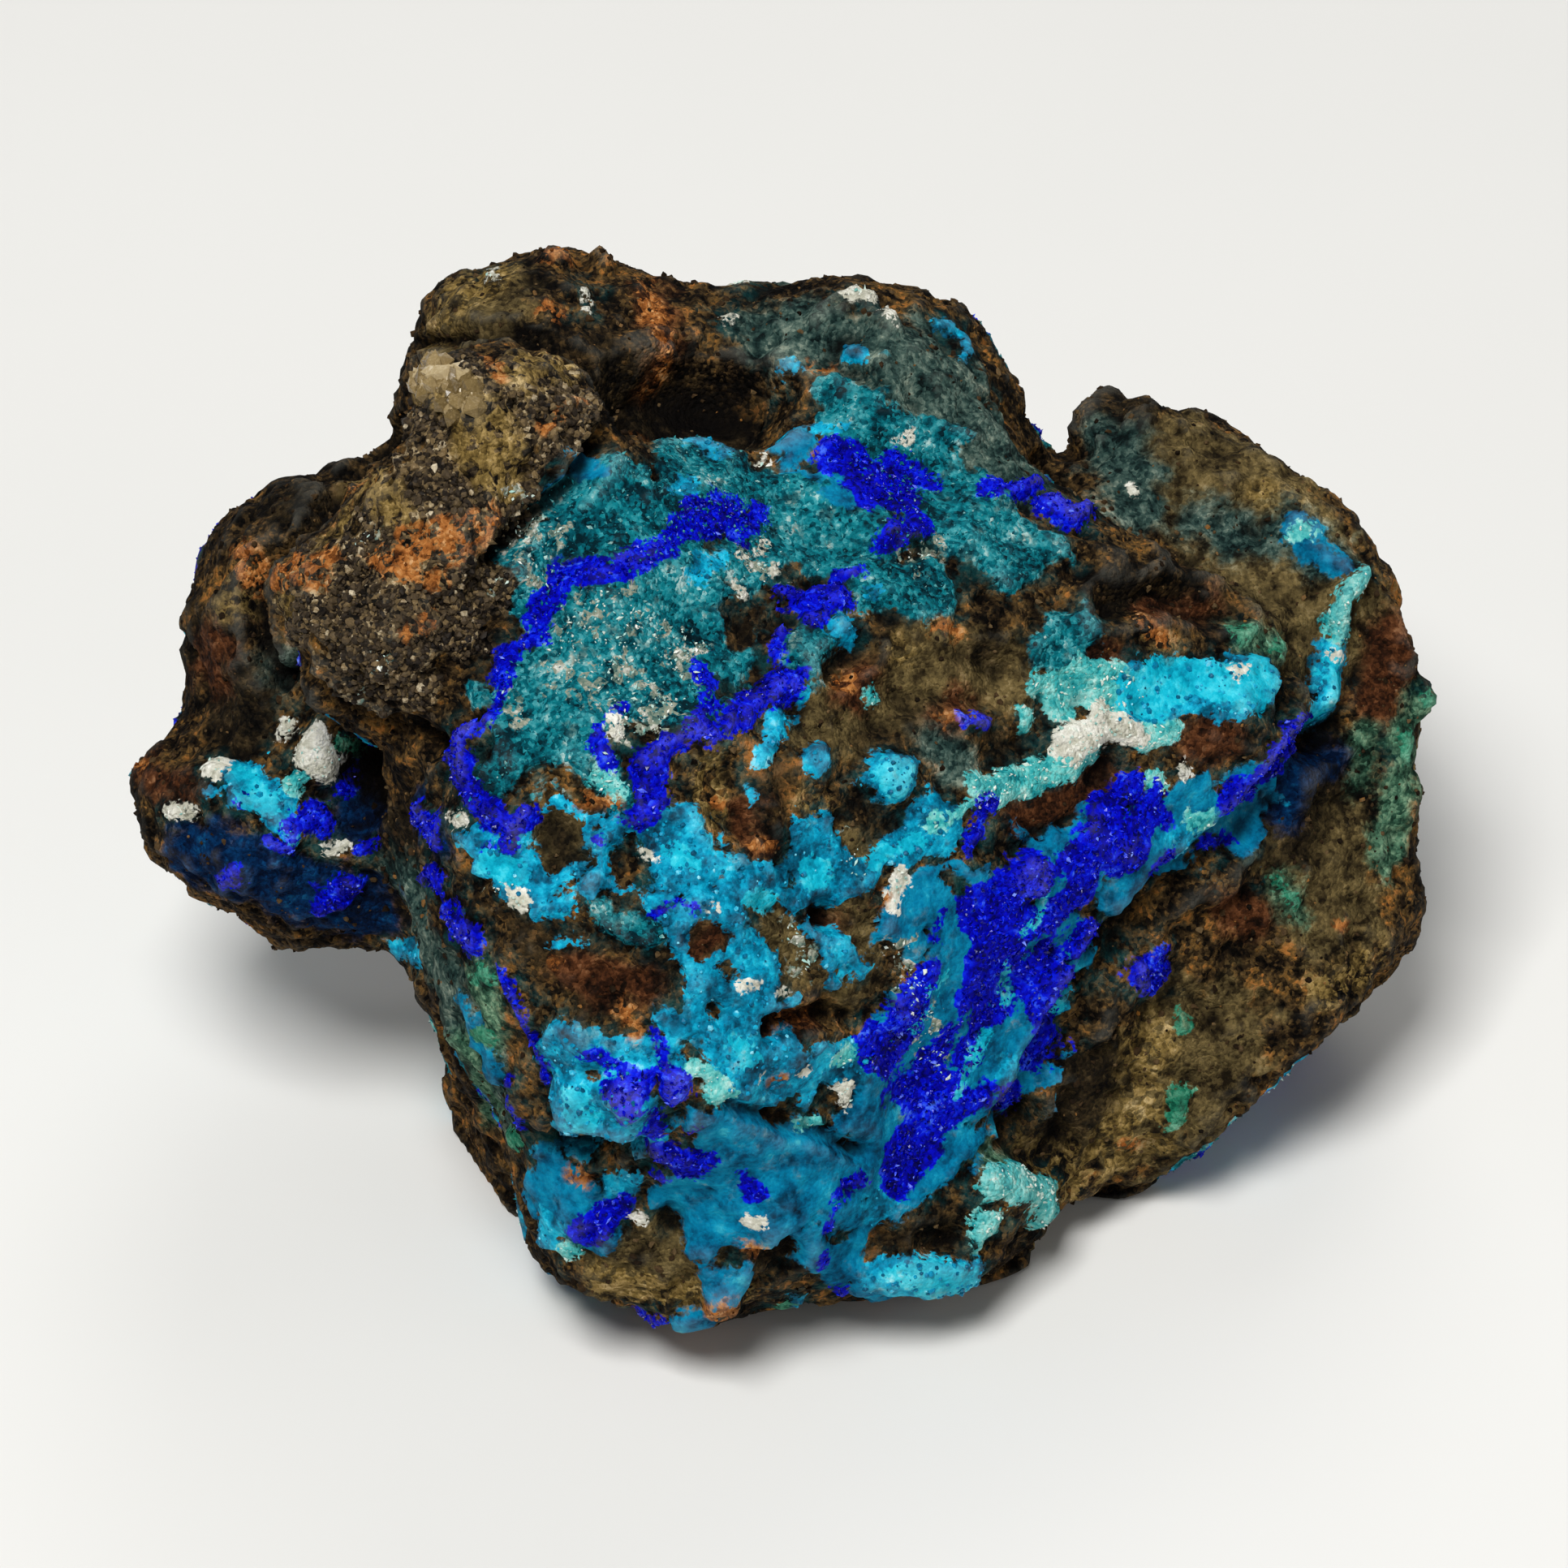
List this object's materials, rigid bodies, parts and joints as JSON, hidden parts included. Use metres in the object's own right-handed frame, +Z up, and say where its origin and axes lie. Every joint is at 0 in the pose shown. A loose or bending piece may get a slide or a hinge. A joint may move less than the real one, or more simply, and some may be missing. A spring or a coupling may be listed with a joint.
{
  "type": "chrysocolla and malachite specimen",
  "caption": "Rugged hand specimen of copper ore: turquoise chrysocolla, deep blue azurite and green malachite crusts on rusty brown limonite matrix, flat underneath to rest on a shelf.",
  "frame": {"origin": "centre of the bounding box at the plane the stone rests on", "axes": "+X to the right across the display face, +Y away from the display face, +Z up"},
  "size_m": [0.0604, 0.0454, 0.0414],
  "materials": {
    "copper_ore": "rough crusts of chrysocolla, azurite and malachite on pitted limonite"
  },
  "bodies": {
    "root": {"specimen": "copper_ore"}
  },
  "joints": []
}
